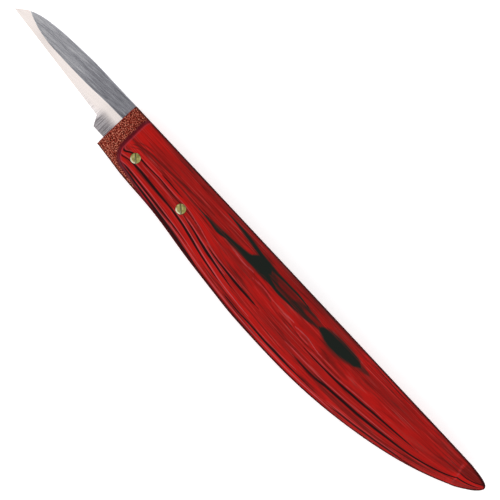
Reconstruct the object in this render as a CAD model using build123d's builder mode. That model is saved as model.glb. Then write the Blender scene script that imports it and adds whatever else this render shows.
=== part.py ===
from build123d import *
from collections import namedtuple
import os

os.makedirs("parts", exist_ok=True)

# A chip carving knife: a short blade on a hidden tang, two laminated-wood scales
# around it with a filler between them, and two slotted brass cutler's screws.
#
# Sizes are in millimetres. The knife lies flat on its right side. In the side view
# "along" runs forward from the handle's front face to the tip, and "down" runs from
# the knife's back towards its cutting edge. Heights are measured outwards from the
# middle plane of the blade, and both sides are alike.

# ---- Driving dimensions ----

BLADE_REACH = 44.0            # handle front to tip
HANDLE_LENGTH = 146.5
HANDLE_DEPTH = 21.05          # back to belly, where it is deepest
HANDLE_HALF = 7.15            # half the handle's thickness over its dressed flats

TANG_HALF = 0.8               # half the tang's and the filler's thickness
FLAT_HALF = 0.78              # half the blade's thickness between its ground flats
RICASSO_HALF = 0.34           # half the thinned heel
EDGE_HALF = 0.05              # half the cutting edge
BACK_CHAMFER = 0.15           # on the blade's back

HEEL_ALONG = 6.0              # back end of the cutting edge
EDGE_AT_HEEL = 9.9
EDGE_AT_TIP = 6.28
RICASSO_DEPTH = 12.8
RICASSO_CORNER = 4.3          # along, where the ricasso's lower edge ends
RICASSO_GRIND = 8.1           # down, where the bevel runs out into the thinned heel

# The blade's back runs straight from the handle and then curves down to the tip.
BACK_STRAIGHT = 17.0
BACK_CURVE = [(27, 0.62), (34.5, 1.5), (38.9, 2.7), (41.6, 4.2)]
BACK_TIP_SLOPE = 0.9

# The line where the flat turns into the bevel: along, down.
SHOULDER = [(6.0, 5.4), (13.0, 5.85), (24.0, 6.05), (34.4, 5.35), (40.0, 3.55), (45.0, 1.0)]
SHOULDER_AT_HANDLE = 5.25

# The tang's outline inside the handle, from its back edge round to the ricasso.
TANG_LENGTH = 38.0
TANG_BACK = 5.6
TANG_END = (6.4, 14.6)
TANG_BELLY = (-3, 13.8)
TANG_CORNER = 3.0             # radius of the corners at the tang's end
TANG_FIT = 0.1                # gap round the tang in the filler

HEAD_DIAMETER = 3.1
HEAD_SEAT = 4.0               # height of the shoulder under both heads
SHANK_DIAMETER = 1.9
SHANK_END = 3.1               # how far the shank runs past the middle plane
BARREL_DIAMETER = 2.6
BARREL_TOP = 1.6              # height of the barrel's open end, on the screw's side
BARREL_BORE_END = 3.4         # how far its blind bore runs past the middle plane
DRILL_CLEARANCE = 0.1         # on the diameter
THREAD_CLEARANCE = 0.04       # on the diameter
SLOT_WIDTH = 0.55
SLOT_ANGLE = 137.0            # from along towards down

Screw = namedtuple("Screw", "name along down slot_floor")
SCREWS = [
    Screw("front", -10.75, 10.3, 5.05),
    Screw("rear", -29.9, 10.75, 5.65),
]

# The handle's cross sections from front to crease. The dome's crest, by half to each
# side, is at the ridge. Where it passes HANDLE_HALF it is dressed flat.
Station = namedtuple("Station", "along back belly half ridge")
HANDLE_STATIONS = [
    Station(0.0, 0.0, 15.4, 6.1, 5.2),
    Station(-8.0, 0.0, 16.2, 6.35, 5.2),
    Station(-16.0, 0.0, 16.72, 6.62, 5.2),
    Station(-25.0, 0.0, 17.15, 6.9, 5.2),
    Station(-34.0, 0.0, 18.17, 7.2, 5.2),
    Station(-45.0, 0.0, 19.45, 7.45, 5.2),
    Station(-58.0, 0.0, 20.6, 7.6, 5.2),
    Station(-74.0, 0.0, HANDLE_DEPTH, 7.6, 5.2),
    Station(-90.0, 0.0, 20.55, 7.4, 5.2),
    Station(-105.0, 0.0, 18.7, 7.0, 5.0),
    Station(-119.0, 0.0, 15.75, 6.45, 4.6),
    Station(-130.0, 0.0, 12.3, 5.9, 4.1),
    Station(-138.0, 0.05, 8.9, 5.3, 3.5),
]

# Behind the crease the handle falls away to its rounded butt.
BUTT_STATIONS = [
    HANDLE_STATIONS[-1],
    Station(-140.2, 0.15, 7.85, 4.75, 3.2),
    Station(-142.3, 0.32, 6.5, 3.9, 2.9),
    Station(-144.2, 0.6, 5.15, 3.0, 2.6),
    Station(-145.5, 1.0, 3.95, 2.05, 2.4),
    Station(-146.2, 1.45, 3.05, 1.15, 2.3),
]
BUTT_POINT_DOWN = 2.25

# How far the section's curves keep to their corners: 0.55 is an ellipse.
BELLY_FULLNESS = 0.56
BACK_FULLNESS = 0.82

# The relief at the front of each scale is a lower, flatter dome. It runs back to
# RELIEF_BACK at the knife's back, and from its corner in a long taper to the belly.
RELIEF_RATIO = 0.76           # its height over the handle's
RELIEF_STATIONS = HANDLE_STATIONS[:6]
RELIEF_BACK = 5.1
RELIEF_CORNER = (-5.4, 14.1)
RELIEF_BELLY = (-26.0, 17.4)
RELIEF_RADIUS = 4.0

OVER = 2.0                    # how far a cutting shape runs past what it cuts

# The origin is below the middle of the whole knife, on the surface it lies on.
side_plane = Plane(
    origin=((HANDLE_LENGTH - BLADE_REACH) / 2, -HANDLE_DEPTH / 2, HANDLE_HALF),
    x_dir=(1, 0, 0),
    z_dir=(0, 0, 1),
)


def section_plane(along):
    """The plane across the knife, with x running down and y through the height."""
    return Plane(side_plane.from_local_coords((along, 0, 0)), x_dir=(0, 1, 0), z_dir=(1, 0, 0))


def handle_section(station, height_ratio=1.0):
    """The handle's rounded section, squarer at the back than at the belly."""
    ridge = station.ridge
    half = station.half * height_ratio
    with BuildSketch(section_plane(station.along)) as section:
        with BuildLine():
            for edge, fullness in (
                (station.belly, BELLY_FULLNESS),
                (station.back, BACK_FULLNESS),
            ):
                shoulder = ridge + (edge - ridge) * fullness
                for top in (half, -half):
                    Bezier((ridge, top), (shoulder, top), (edge, top * fullness), (edge, 0))
        make_face()
    return section.sketch


def grind_section(along, shoulder, low, low_half):
    """What the grinding takes off one side of the blade, from the shoulder to the edge."""
    with BuildSketch(section_plane(along)) as section:
        with BuildLine():
            Polyline(
                (shoulder, FLAT_HALF),
                (low, low_half),
                (RICASSO_DEPTH + OVER, low_half),
                (RICASSO_DEPTH + OVER, FLAT_HALF + OVER),
                (shoulder, FLAT_HALF + OVER),
                close=True,
            )
        make_face()
    return section.sketch


def edge_down(along):
    """Where the straight cutting edge lies."""
    share = (BLADE_REACH - along) / (BLADE_REACH - HEEL_ALONG)
    return EDGE_AT_TIP + (EDGE_AT_HEEL - EDGE_AT_TIP) * share


# ---- Shapes shared by the pieces ----

with BuildPart() as handle_blank:
    loft([handle_section(station) for station in HANDLE_STATIONS])
    butt_point = Vertex(*side_plane.from_local_coords((-HANDLE_LENGTH, BUTT_POINT_DOWN, 0)))
    loft([*[handle_section(station) for station in BUTT_STATIONS], butt_point])
    with BuildSketch(side_plane.offset(-HANDLE_HALF)):
        with Locations((-HANDLE_LENGTH / 2, HANDLE_DEPTH / 2)):
            Rectangle(HANDLE_LENGTH + 2 * OVER, HANDLE_DEPTH + 2 * OVER)
    extrude(amount=2 * HANDLE_HALF, mode=Mode.INTERSECT)

with BuildPart() as relief_floor:
    loft([handle_section(station, RELIEF_RATIO) for station in RELIEF_STATIONS])

with BuildPart() as relief_space:
    with BuildSketch(side_plane):
        with BuildLine():
            Polyline(
                (OVER, -OVER),
                (-RELIEF_BACK, -OVER),
                RELIEF_CORNER,
                RELIEF_BELLY,
                (OVER, HANDLE_DEPTH),
                close=True,
            )
        relief_outline = make_face()
        corner_place = side_plane.from_local_coords((*RELIEF_CORNER, 0))
        fillet(relief_outline.vertices().sort_by_distance(corner_place)[0], radius=RELIEF_RADIUS)
    extrude(amount=HANDLE_HALF + OVER, both=True)
    add(relief_floor.part, mode=Mode.SUBTRACT)

screw_places = [(screw.along, screw.down) for screw in SCREWS]

with BuildPart() as screw_holes:
    with BuildSketch(side_plane.offset(HEAD_SEAT)):
        with Locations(*screw_places):
            Circle((HEAD_DIAMETER + DRILL_CLEARANCE) / 2)
    extrude(amount=HANDLE_HALF)
    with BuildSketch(side_plane):
        with Locations(*screw_places):
            Circle((SHANK_DIAMETER + DRILL_CLEARANCE) / 2)
    extrude(amount=HEAD_SEAT)

with BuildPart() as nut_holes:
    with BuildSketch(side_plane.offset(-HEAD_SEAT)):
        with Locations(*screw_places):
            Circle((HEAD_DIAMETER + DRILL_CLEARANCE) / 2)
    extrude(amount=-HANDLE_HALF)
    with BuildSketch(side_plane.offset(-HEAD_SEAT)):
        with Locations(*screw_places):
            Circle((BARREL_DIAMETER + DRILL_CLEARANCE) / 2)
    extrude(amount=HEAD_SEAT + BARREL_TOP + DRILL_CLEARANCE)

with BuildPart() as grinding:
    loft([grind_section(along, down, edge_down(along), EDGE_HALF) for along, down in SHOULDER])
    loft(
        [
            grind_section(0, SHOULDER_AT_HANDLE, RICASSO_GRIND, RICASSO_HALF),
            grind_section(*SHOULDER[0], RICASSO_GRIND, RICASSO_HALF),
        ]
    )
    mirror(about=side_plane)


# ---- Blade and tang ----

with BuildPart() as blade:
    with BuildSketch(side_plane):
        with BuildLine():
            Line((0, 0), (BACK_STRAIGHT, 0))
            Spline(
                (BACK_STRAIGHT, 0),
                *BACK_CURVE,
                (BLADE_REACH, EDGE_AT_TIP),
                tangents=((1, 0), (1, BACK_TIP_SLOPE)),
            )
            Polyline(
                (BLADE_REACH, EDGE_AT_TIP),
                (HEEL_ALONG, EDGE_AT_HEEL),
                (RICASSO_CORNER, RICASSO_DEPTH),
                (0, RICASSO_DEPTH),
                (0, 0),
            )
        make_face()
    extrude(amount=FLAT_HALF, both=True)
    back_face = blade.faces().filter_by(Axis.Y).sort_by(Axis.Y)[0]
    chamfer(back_face.edges().filter_by(Axis.X), length=BACK_CHAMFER)
    add(grinding.part, mode=Mode.SUBTRACT)
    with BuildSketch(side_plane.offset(-TANG_HALF)) as tang_outline:
        with BuildLine():
            Polyline(
                (0, TANG_BACK),
                (-TANG_LENGTH, TANG_END[0]),
                (-TANG_LENGTH, TANG_END[1]),
                TANG_BELLY,
                (0, RICASSO_DEPTH),
                close=True,
            )
        make_face()
        fillet(tang_outline.vertices().group_by(Axis.X)[0], radius=TANG_CORNER)
    extrude(amount=2 * TANG_HALF)
    add(nut_holes.part, mode=Mode.SUBTRACT)
blade.part.label = "blade"
export_step(blade.part, "parts/blade.step")


# ---- Handle ----

with BuildPart() as core_spacer:
    add(handle_blank.part)
    split(bisect_by=side_plane.offset(TANG_HALF), keep=Keep.BOTTOM)
    split(bisect_by=side_plane.offset(-TANG_HALF), keep=Keep.TOP)
    with BuildSketch(side_plane.offset(-TANG_HALF)):
        add(tang_outline.sketch_local)
        offset(amount=TANG_FIT)
    extrude(amount=2 * TANG_HALF, mode=Mode.SUBTRACT)
core_spacer.part.label = "core_spacer"
export_step(core_spacer.part, "parts/core_spacer.step")

with BuildPart() as scale_left:
    add(handle_blank.part)
    split(bisect_by=side_plane.offset(TANG_HALF), keep=Keep.TOP)
    add(relief_space.part, mode=Mode.SUBTRACT)
    add(screw_holes.part, mode=Mode.SUBTRACT)
    add(nut_holes.part, mode=Mode.SUBTRACT)
scale_left.part.label = "scale_left"
export_step(scale_left.part, "parts/scale_left.step")

with BuildPart() as scale_right:
    add(handle_blank.part)
    split(bisect_by=side_plane.offset(-TANG_HALF), keep=Keep.BOTTOM)
    add(relief_space.part, mode=Mode.SUBTRACT)
    add(nut_holes.part, mode=Mode.SUBTRACT)
scale_right.part.label = "scale_right"
export_step(scale_right.part, "parts/scale_right.step")


# ---- Cutler's screws and their barrel nuts, dressed flush with the handle ----

for screw in SCREWS:
    place = (screw.along, screw.down)

    with BuildPart() as cutlers_screw:
        with BuildSketch(side_plane.offset(HEAD_SEAT)):
            with Locations(place):
                Circle(HEAD_DIAMETER / 2)
        extrude(amount=HANDLE_HALF)
        add(handle_blank.part, mode=Mode.INTERSECT)
        with BuildSketch(side_plane.offset(-SHANK_END)):
            with Locations(place):
                Circle(SHANK_DIAMETER / 2)
        extrude(amount=SHANK_END + HEAD_SEAT)
        with BuildSketch(side_plane.offset(screw.slot_floor)):
            with Locations(place):
                Rectangle(HEAD_DIAMETER + OVER, SLOT_WIDTH, rotation=SLOT_ANGLE)
        extrude(amount=OVER, mode=Mode.SUBTRACT)
    cutlers_screw.part.label = f"screw_{screw.name}"
    export_step(cutlers_screw.part, f"parts/screw_{screw.name}.step")

    with BuildPart() as barrel_nut:
        with BuildSketch(side_plane.offset(-HEAD_SEAT)):
            with Locations(place):
                Circle(HEAD_DIAMETER / 2)
        extrude(amount=-HANDLE_HALF)
        add(handle_blank.part, mode=Mode.INTERSECT)
        with BuildSketch(side_plane.offset(-HEAD_SEAT)):
            with Locations(place):
                Circle(BARREL_DIAMETER / 2)
        extrude(amount=HEAD_SEAT + BARREL_TOP)
        with BuildSketch(side_plane.offset(-BARREL_BORE_END)):
            with Locations(place):
                Circle((SHANK_DIAMETER + THREAD_CLEARANCE) / 2)
        extrude(amount=BARREL_BORE_END + BARREL_TOP, mode=Mode.SUBTRACT)
        with BuildSketch(side_plane.offset(-screw.slot_floor)):
            with Locations(place):
                Rectangle(HEAD_DIAMETER + OVER, SLOT_WIDTH, rotation=SLOT_ANGLE)
        extrude(amount=-OVER, mode=Mode.SUBTRACT)
    barrel_nut.part.label = f"nut_{screw.name}"
    export_step(barrel_nut.part, f"parts/nut_{screw.name}.step")
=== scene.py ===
import bpy
import bmesh
import math
import numpy as np
from mathutils import Matrix, Vector, noise


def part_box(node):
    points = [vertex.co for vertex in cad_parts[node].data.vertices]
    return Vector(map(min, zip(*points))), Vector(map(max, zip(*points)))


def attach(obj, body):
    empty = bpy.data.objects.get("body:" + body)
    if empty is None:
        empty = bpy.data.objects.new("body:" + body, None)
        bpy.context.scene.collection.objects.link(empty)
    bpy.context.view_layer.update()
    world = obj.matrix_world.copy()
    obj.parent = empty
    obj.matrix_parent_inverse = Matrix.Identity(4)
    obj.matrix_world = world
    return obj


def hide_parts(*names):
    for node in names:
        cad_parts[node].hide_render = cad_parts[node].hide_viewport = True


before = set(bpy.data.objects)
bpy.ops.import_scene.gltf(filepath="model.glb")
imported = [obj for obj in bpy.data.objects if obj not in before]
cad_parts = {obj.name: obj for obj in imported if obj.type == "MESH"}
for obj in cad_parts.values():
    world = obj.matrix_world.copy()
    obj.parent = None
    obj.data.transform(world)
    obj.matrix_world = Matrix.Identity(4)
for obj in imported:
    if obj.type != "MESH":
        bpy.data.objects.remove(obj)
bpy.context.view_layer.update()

# The knife lies flat on its right side. Sizes below are in millimetres in the
# knife's own side view, as in the CAD: "along" runs forward from the handle's front
# face, "down" from the knife's back towards its edge, and "height" outwards from the
# blade's middle plane, to the left (side +1, upwards) or to the right (side -1).
MM = 0.001
core_low, core_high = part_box("core_spacer")
blade_low, blade_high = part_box("blade")
FRONT = core_high.x
BACK = blade_low.y
MIDDLE = (core_low.z + core_high.z) / 2
CORE_HALF = (core_high.z - core_low.z) / 2 / MM
HANDLE_LENGTH = (core_high.x - core_low.x) / MM
BLADE_REACH = (blade_high.x - FRONT) / MM


def place(along, down, height, side=1):
    """The point in metres, in the frame."""
    return Vector((FRONT + along * MM, BACK + down * MM, MIDDLE + side * height * MM))


# ---- The handle's form ----

# Along, back, belly, half thickness, ridge: the sections of the handle in front of the
# crease, and of the butt behind it.
STATIONS = [
    (0, 0, 15.4, 6.1, 5.2),
    (-8, 0, 16.2, 6.35, 5.2),
    (-16, 0, 16.72, 6.62, 5.2),
    (-25, 0, 17.15, 6.9, 5.2),
    (-34, 0, 18.17, 7.2, 5.2),
    (-45, 0, 19.45, 7.45, 5.2),
    (-58, 0, 20.6, 7.6, 5.2),
    (-74, 0, 21.05, 7.6, 5.2),
    (-90, 0, 20.55, 7.4, 5.2),
    (-105, 0, 18.7, 7, 5),
    (-119, 0, 15.75, 6.45, 4.6),
    (-130, 0, 12.3, 5.9, 4.1),
    (-138, 0.05, 8.9, 5.3, 3.5),
]
BUTT = [
    STATIONS[-1],
    (-140.2, 0.15, 7.85, 4.75, 3.2),
    (-142.3, 0.32, 6.5, 3.9, 2.9),
    (-144.2, 0.6, 5.15, 3, 2.6),
    (-145.5, 1, 3.95, 2.05, 2.4),
    (-146.2, 1.45, 3.05, 1.15, 2.3),
    (-HANDLE_LENGTH, 2.25, 2.25, 0, 2.25),
]
CREASE = STATIONS[-1][0]
BELLY_FULLNESS = 0.56
BACK_FULLNESS = 0.82
FLAT_HALF = 7.15              # the dome is dressed flat above this
FLAT_ROUNDING = 0.12

# The relief at the handle's front, and the rounded shoulder round it.
RELIEF_LEVEL = 0.724          # what is left of the height above the filler
RELIEF_BACK = -5.1
RELIEF_CORNER = (-5.4, 14.1)
RELIEF_BELLY = (-26.0, 17.4)
RELIEF_RADIUS = 4.0
SHOULDER_WIDTH = 0.9
CURL = 1.3
CURL_REACH = 0.55
STIPPLE_DEPTH = 0.08
STIPPLE_SIZE = 0.24
STIPPLE_STRENGTH = 1.6
STIPPLE_PATCH = 3 * 17.3      # where the noise is read
STIPPLE_FADE = 0.8            # it dies out within this height of the filler
EDGE_BREAK = 0.18             # on the handle's front edge

SCREWS = {"front": (-10.75, 10.3), "rear": (-29.9, 10.75)}
HEAD_RADIUS = 1.55
HEAD_CROWN = 0.2
HOLE_RADIUS = 1.58
HEAD_SEAT = 4.0
SLOT_WIDTH = 0.5
SLOT_DEPTH = 0.55
SLOT_ANGLE = math.radians(137)
HEAD_FACE = (0, 0.35, 0.7, 1.0, 1.25, 1.42)     # radii of the crowned face
HEAD_RIM = ((1.5, 0.03), (HEAD_RADIUS, 0.12))   # radius, and how far below the face
HEAD_SIDES = 64
HOLE_SIDES = 48
HIGHLIGHT_RING = (1.0, 1.35)     # the painted highlight comes up between these radii
HIGHLIGHT_LEAN = (0.3, 0.85)     # and from across the head to its belly side

# The blade, as in the CAD, except that its thinned heel is ground as one long hollow.
FLAT_THICK = 0.78             # half thicknesses
EDGE_THICK = 0.05
HEEL_SLOPE = 0.135            # of the heel's hollow, where it starts
HEEL_TURN = 7.0               # down, where the slope starts to ease off
HEEL_EASE = 1.7
BACK_CHAMFER = 0.15
HEEL = (6.0, 9.9)             # back end of the cutting edge
TIP_DOWN = 6.28
HEEL_CORNER = (4.3, 12.8)
HEEL_BLEND = (8.2, 4.6)       # along, where the bevel runs out into the heel
BLADE_BACK = [(17, 0), (27, 0.62), (34.5, 1.5), (38.9, 2.7), (41.6, 4.2), (44, TIP_DOWN)]
BLADE_SHOULDER = [
    (0, 5.25), (6, 5.4), (13, 5.85), (24, 6.05), (34.4, 5.35), (40, 3.55), (45, 1),
]
TANG_OUTLINE = [
    (0, 5.6), (-36.5, 6.37), (-37.6, 6.85), (-38, 7.9), (-38, 12.6), (-37.4, 13.85), (-36.2, 14.56),
    (-3, 13.8), (0, 12.8),
]
TANG_HALF = 0.8
BEDDING_PROUD = 0.08          # of the front face, where the gap beside the heel is filled
BEDDING_GAP = 0.1             # under the heel, between the tang and the filler
BEDDING_START = 0.4           # below the shoulder, where the hollow is deep enough to fill
BEDDING_LAP = 0.03            # into the steel
BEDDING_CORNER = 0.02         # below the heel, where the filling closes up

# How finely the meshes are divided.
FINE_BACK = -27               # in front of this the handle's sections are a fine step apart
FINE_STEP = 0.14
PLAIN_SECTIONS = 240
BUTT_SECTIONS = 36
BACK_POINTS = 40              # from the ridge to the back
BELLY_POINTS = 130
BEDDING_POINTS = 40
HEEL_SECTIONS = 60            # as far as HEEL_SECTIONS_END
HEEL_SECTIONS_END = 7
BLADE_SECTIONS = 120
TIP_SECTIONS = (43.7, 43.85, 43.97)
FLAT_POINTS = 7
BEVEL_POINTS = 50
LEAST_WIDTH = 0.02            # of the flat and of the bevel, where they run out


def spline(points, x, column=1):
    """A natural cubic spline through the first number of each point and another one."""
    xs, ys = np.array([(p[0], p[column]) for p in points], float).T
    if xs[0] > xs[-1]:
        xs, ys = xs[::-1], ys[::-1]
    n, gap, slope = len(xs), np.diff(xs), np.diff(ys) / np.diff(xs)
    system, right = np.eye(n), np.zeros(n)
    for i in range(1, n - 1):
        system[i, i - 1 : i + 2] = gap[i - 1], 2 * (gap[i - 1] + gap[i]), gap[i]
        right[i] = 6 * (slope[i] - slope[i - 1])
    bend = np.linalg.solve(system, right)
    x = np.clip(x, xs[0], xs[-1])
    i = np.clip(np.searchsorted(xs, x) - 1, 0, n - 2)
    a, b = xs[i + 1] - x, x - xs[i]
    return (
        (bend[i] * a**3 + bend[i + 1] * b**3) / (6 * gap[i])
        + (ys[i] / gap[i] - bend[i] * gap[i] / 6) * a
        + (ys[i + 1] / gap[i] - bend[i + 1] * gap[i] / 6) * b
    )


def section(along):
    """Back, belly, half thickness and ridge at each place along the handle."""
    along = np.asarray(along, float)
    # Behind the crease the curves run on the root of the way to the end, which rounds it.
    root = np.sqrt(np.maximum(HANDLE_LENGTH + along, 0))
    butt = [(math.sqrt(max(HANDLE_LENGTH + s[0], 0)), *s[1:]) for s in BUTT]
    return [
        np.where(along >= CREASE, spline(STATIONS, along, k), spline(butt, root, k))
        for k in range(1, 5)
    ]


def quarter(t, fullness):
    """A quarter of the section, from the ridge (0, 1) to the edge (1, 0)."""
    s = 1 - t
    out = 3 * s * s * t * fullness + 3 * s * t * t + t**3
    up = s**3 + 3 * s * s * t + 3 * s * t * t * fullness
    return out, up


def solve(function, goal, low, high):
    """Where a falling function of an array reaches goal, by halving."""
    for _ in range(40):
        middle = (low + high) / 2
        above = function(middle) > goal
        low = np.where(above, middle, low)
        high = np.where(above, high, middle)
    return (low + high) / 2


def dress(height):
    """The dome's height once its crest is dressed flat, with a slightly soft border."""
    past = height - FLAT_HALF
    return (height + FLAT_HALF - np.sqrt(past**2 + FLAT_ROUNDING**2)) / 2


def dome_height(along, down):
    """The handle's height at a place on its belly side, clear of the relief."""
    _, belly, half, ridge = section(np.array([along]))
    share = (down - ridge) / (belly - ridge)
    t = solve(lambda t: -quarter(t, BELLY_FULLNESS)[0], -share, 0, 1)
    return float(dress(half * quarter(t, BELLY_FULLNESS)[1])[0])


def smooth(value, low, high):
    """0 up to low and 1 from high on, with an eased rise between them."""
    t = np.clip((value - low) / (high - low), 0, 1)
    return t * t * (3 - 2 * t)


def relief_distance(along, down):
    """How far a place is past the raised area's border, towards the relief."""
    # Close to the back the border curls away from the relief.
    along = along + CURL * np.exp(-down / CURL_REACH)
    line = np.array(RELIEF_BELLY) - np.array(RELIEF_CORNER)
    line /= np.linalg.norm(line)
    back_lean = (RELIEF_CORNER[0] - RELIEF_BACK) / RELIEF_CORNER[1]
    past_front = along - (RELIEF_BACK + back_lean * down)
    past_belly = (down - RELIEF_CORNER[1]) * -line[0] + (along - RELIEF_CORNER[0]) * line[1]
    a, b = past_front + RELIEF_RADIUS, past_belly + RELIEF_RADIUS
    outside = np.hypot(np.maximum(a, 0), np.maximum(b, 0))
    return outside + np.minimum(np.maximum(a, b), 0) - RELIEF_RADIUS


def window(value, rise, fall):
    """1 between a rise and a fall, and 0 outside them."""
    return smooth(value, *rise) * (1 - smooth(value, *fall))


def relief_share(along, down):
    """0 on the raised dome, 1 on the relief's floor."""
    return smooth(relief_distance(along, down), -SHOULDER_WIDTH / 2, SHOULDER_WIDTH / 2)


def stipple(along, down):
    """The struck texture of the relief, from smooth noise, about -1 to 1."""
    x = (along / STIPPLE_SIZE).ravel() + STIPPLE_PATCH
    y = (down / STIPPLE_SIZE).ravel() - STIPPLE_PATCH
    found = [noise.noise(Vector((*point, 0.0))) for point in zip(x, y)]
    return np.array(found).reshape(along.shape) * STIPPLE_STRENGTH


# ---- Meshes ----


def link(name, data):
    """A new object in the scene."""
    obj = bpy.data.objects.new(name, data)
    bpy.context.scene.collection.objects.link(obj)
    return obj


def new_piece(name, mesh, material):
    """A piece of the knife, which rides on its only body."""
    obj = link(name, mesh)
    mesh.materials.append(material)
    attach(obj, "root")
    return obj


def skin(bm, rows):
    """Faces between each row of vertices and the next."""
    for row, following in zip(rows, rows[1:]):
        for k in range(len(row) - 1):
            bm.faces.new((row[k], row[k + 1], following[k + 1], following[k]))


def finished(bm, name):
    """The mesh, with its faces turned outwards."""
    bmesh.ops.recalc_face_normals(bm, faces=bm.faces)
    mesh = bpy.data.meshes.new(name)
    bm.to_mesh(mesh)
    bm.free()
    return mesh


def cut(obj, cutter_mesh):
    """Take the cutter's solid out of the object."""
    cutter = link("cutter", cutter_mesh)
    boolean = obj.modifiers.new("cut", "BOOLEAN")
    boolean.operation = "DIFFERENCE"
    boolean.solver = "EXACT"
    boolean.object = cutter
    bpy.context.view_layer.update()
    evaluated = obj.evaluated_get(bpy.context.evaluated_depsgraph_get())
    mesh = bpy.data.meshes.new_from_object(evaluated)
    obj.modifiers.clear()
    old = obj.data
    obj.data = mesh
    bpy.data.meshes.remove(old)
    bpy.data.objects.remove(cutter)
    bpy.data.meshes.remove(cutter_mesh)


def hole_mesh(along, down, side):
    """The hole that a screw head sits in."""
    depth = 10
    bm = bmesh.new()
    bmesh.ops.create_cone(
        bm, cap_ends=True, segments=HOLE_SIDES, depth=depth * MM,
        radius1=HOLE_RADIUS * MM, radius2=HOLE_RADIUS * MM,
        matrix=Matrix.Translation(place(along, down, HEAD_SEAT + depth / 2, side)),
    )
    return finished(bm, "hole")


def scale_mesh(side):
    """One scale: its dome, the relief at its front, its front face and inner face."""
    butt_end = float(solve(lambda q: -section(q**2 - HANDLE_LENGTH)[2], -CORE_HALF, 0, 2))
    butt = np.linspace(math.sqrt(HANDLE_LENGTH + CREASE), butt_end, BUTT_SECTIONS)[1:-1]
    along = np.concatenate([
        [0.0],
        -np.arange(EDGE_BREAK, -FINE_BACK, FINE_STEP),
        np.linspace(FINE_BACK, CREASE, PLAIN_SECTIONS),
        butt**2 - HANDLE_LENGTH,
    ])
    back, belly, half, ridge = section(along)
    # The filler's half thickness, as a share, before the crest is dressed flat.
    level = (CORE_HALF + FLAT_ROUNDING**2 / 4 / (FLAT_HALF - CORE_HALF)) / half
    downs, heights = [], []
    for edge, fullness, count in (
        (back, BACK_FULLNESS, BACK_POINTS), (belly, BELLY_FULLNESS, BELLY_POINTS),
    ):
        last = solve(lambda t: quarter(t, fullness)[1], level, 0, 1)
        shares = np.linspace(1, 0, count)[:, None] * last
        out, up = quarter(shares, fullness)
        downs.append(ridge + (edge - ridge) * out)
        heights.append(dress(half * up))
    down, height = (np.concatenate([a, b[-2::-1]]).T for a, b in (downs, heights))
    length = np.repeat(along[:, None], down.shape[1], 1)
    height[:, 0] = height[:, -1] = CORE_HALF
    sunk = relief_share(length, down)
    above = height - CORE_HALF
    rough = stipple(length, down) * STIPPLE_DEPTH * sunk * smooth(above, 0, STIPPLE_FADE)
    height = CORE_HALF + above * (1 - (1 - RELIEF_LEVEL) * sunk) + rough
    # The front edge is broken all round.
    height[0] = CORE_HALF + np.maximum(height[0] - CORE_HALF - EDGE_BREAK, 0)
    middle = (down[0, 0] + down[0, -1]) / 2
    down[0] = middle + (down[0] - middle) * (1 - 2 * EDGE_BREAK / (down[0, -1] - down[0, 0]))

    bm = bmesh.new()
    grid = [
        [bm.verts.new(place(*values, side)) for values in zip(length[i], down[i], height[i])]
        for i in range(len(along))
    ]
    tip_along = butt_end**2 - HANDLE_LENGTH
    tip = bm.verts.new(place(tip_along, section(np.array([tip_along]))[3][0], CORE_HALF, side))
    rings = [column + column[:1] for column in grid]
    skin(bm, rings)
    for vertex, after in zip(rings[-1], rings[-1][1:]):
        bm.faces.new((vertex, after, tip))
    bm.faces.new(grid[0])
    return finished(bm, "scale")


def heel_half(down, shoulder):
    """Half the blade's thickness at the heel, ground as one long hollow."""
    straight = np.clip(np.minimum(down, HEEL_TURN) - shoulder, 0, None)
    room = HEEL_CORNER[1] - HEEL_TURN
    left = 1 - np.clip((down - HEEL_TURN) / room, 0, 1)
    eased = room / (HEEL_EASE + 1) * (1 - left ** (HEEL_EASE + 1))
    return FLAT_THICK - HEEL_SLOPE * (straight + eased)


def bedding_mesh():
    """What fills the gaps between the hollow heel and the scales, where the blade goes in."""
    shoulder, corner = BLADE_SHOULDER[0][1], HEEL_CORNER[1]
    down = np.linspace(shoulder + BEDDING_START, corner, BEDDING_POINTS)
    inner = np.append(heel_half(down, shoulder) - BEDDING_LAP, [0, 0])
    down = np.append(down, [corner + BEDDING_CORNER, corner + BEDDING_GAP])
    bm = bmesh.new()
    for side in (1, -1):
        rings = [
            [bm.verts.new(place(along, d, h, side)) for d, h in zip(down, inner)]
            + [bm.verts.new(place(along, d, TANG_HALF, side)) for d in down[::-1]]
            for along in (BEDDING_PROUD, 0)
        ]
        skin(bm, [ring[-1:] + ring for ring in rings])
        for ring in rings:
            skin(bm, [ring[: len(down)], ring[: len(down) - 1 : -1]])
    return finished(bm, "bedding")


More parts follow.
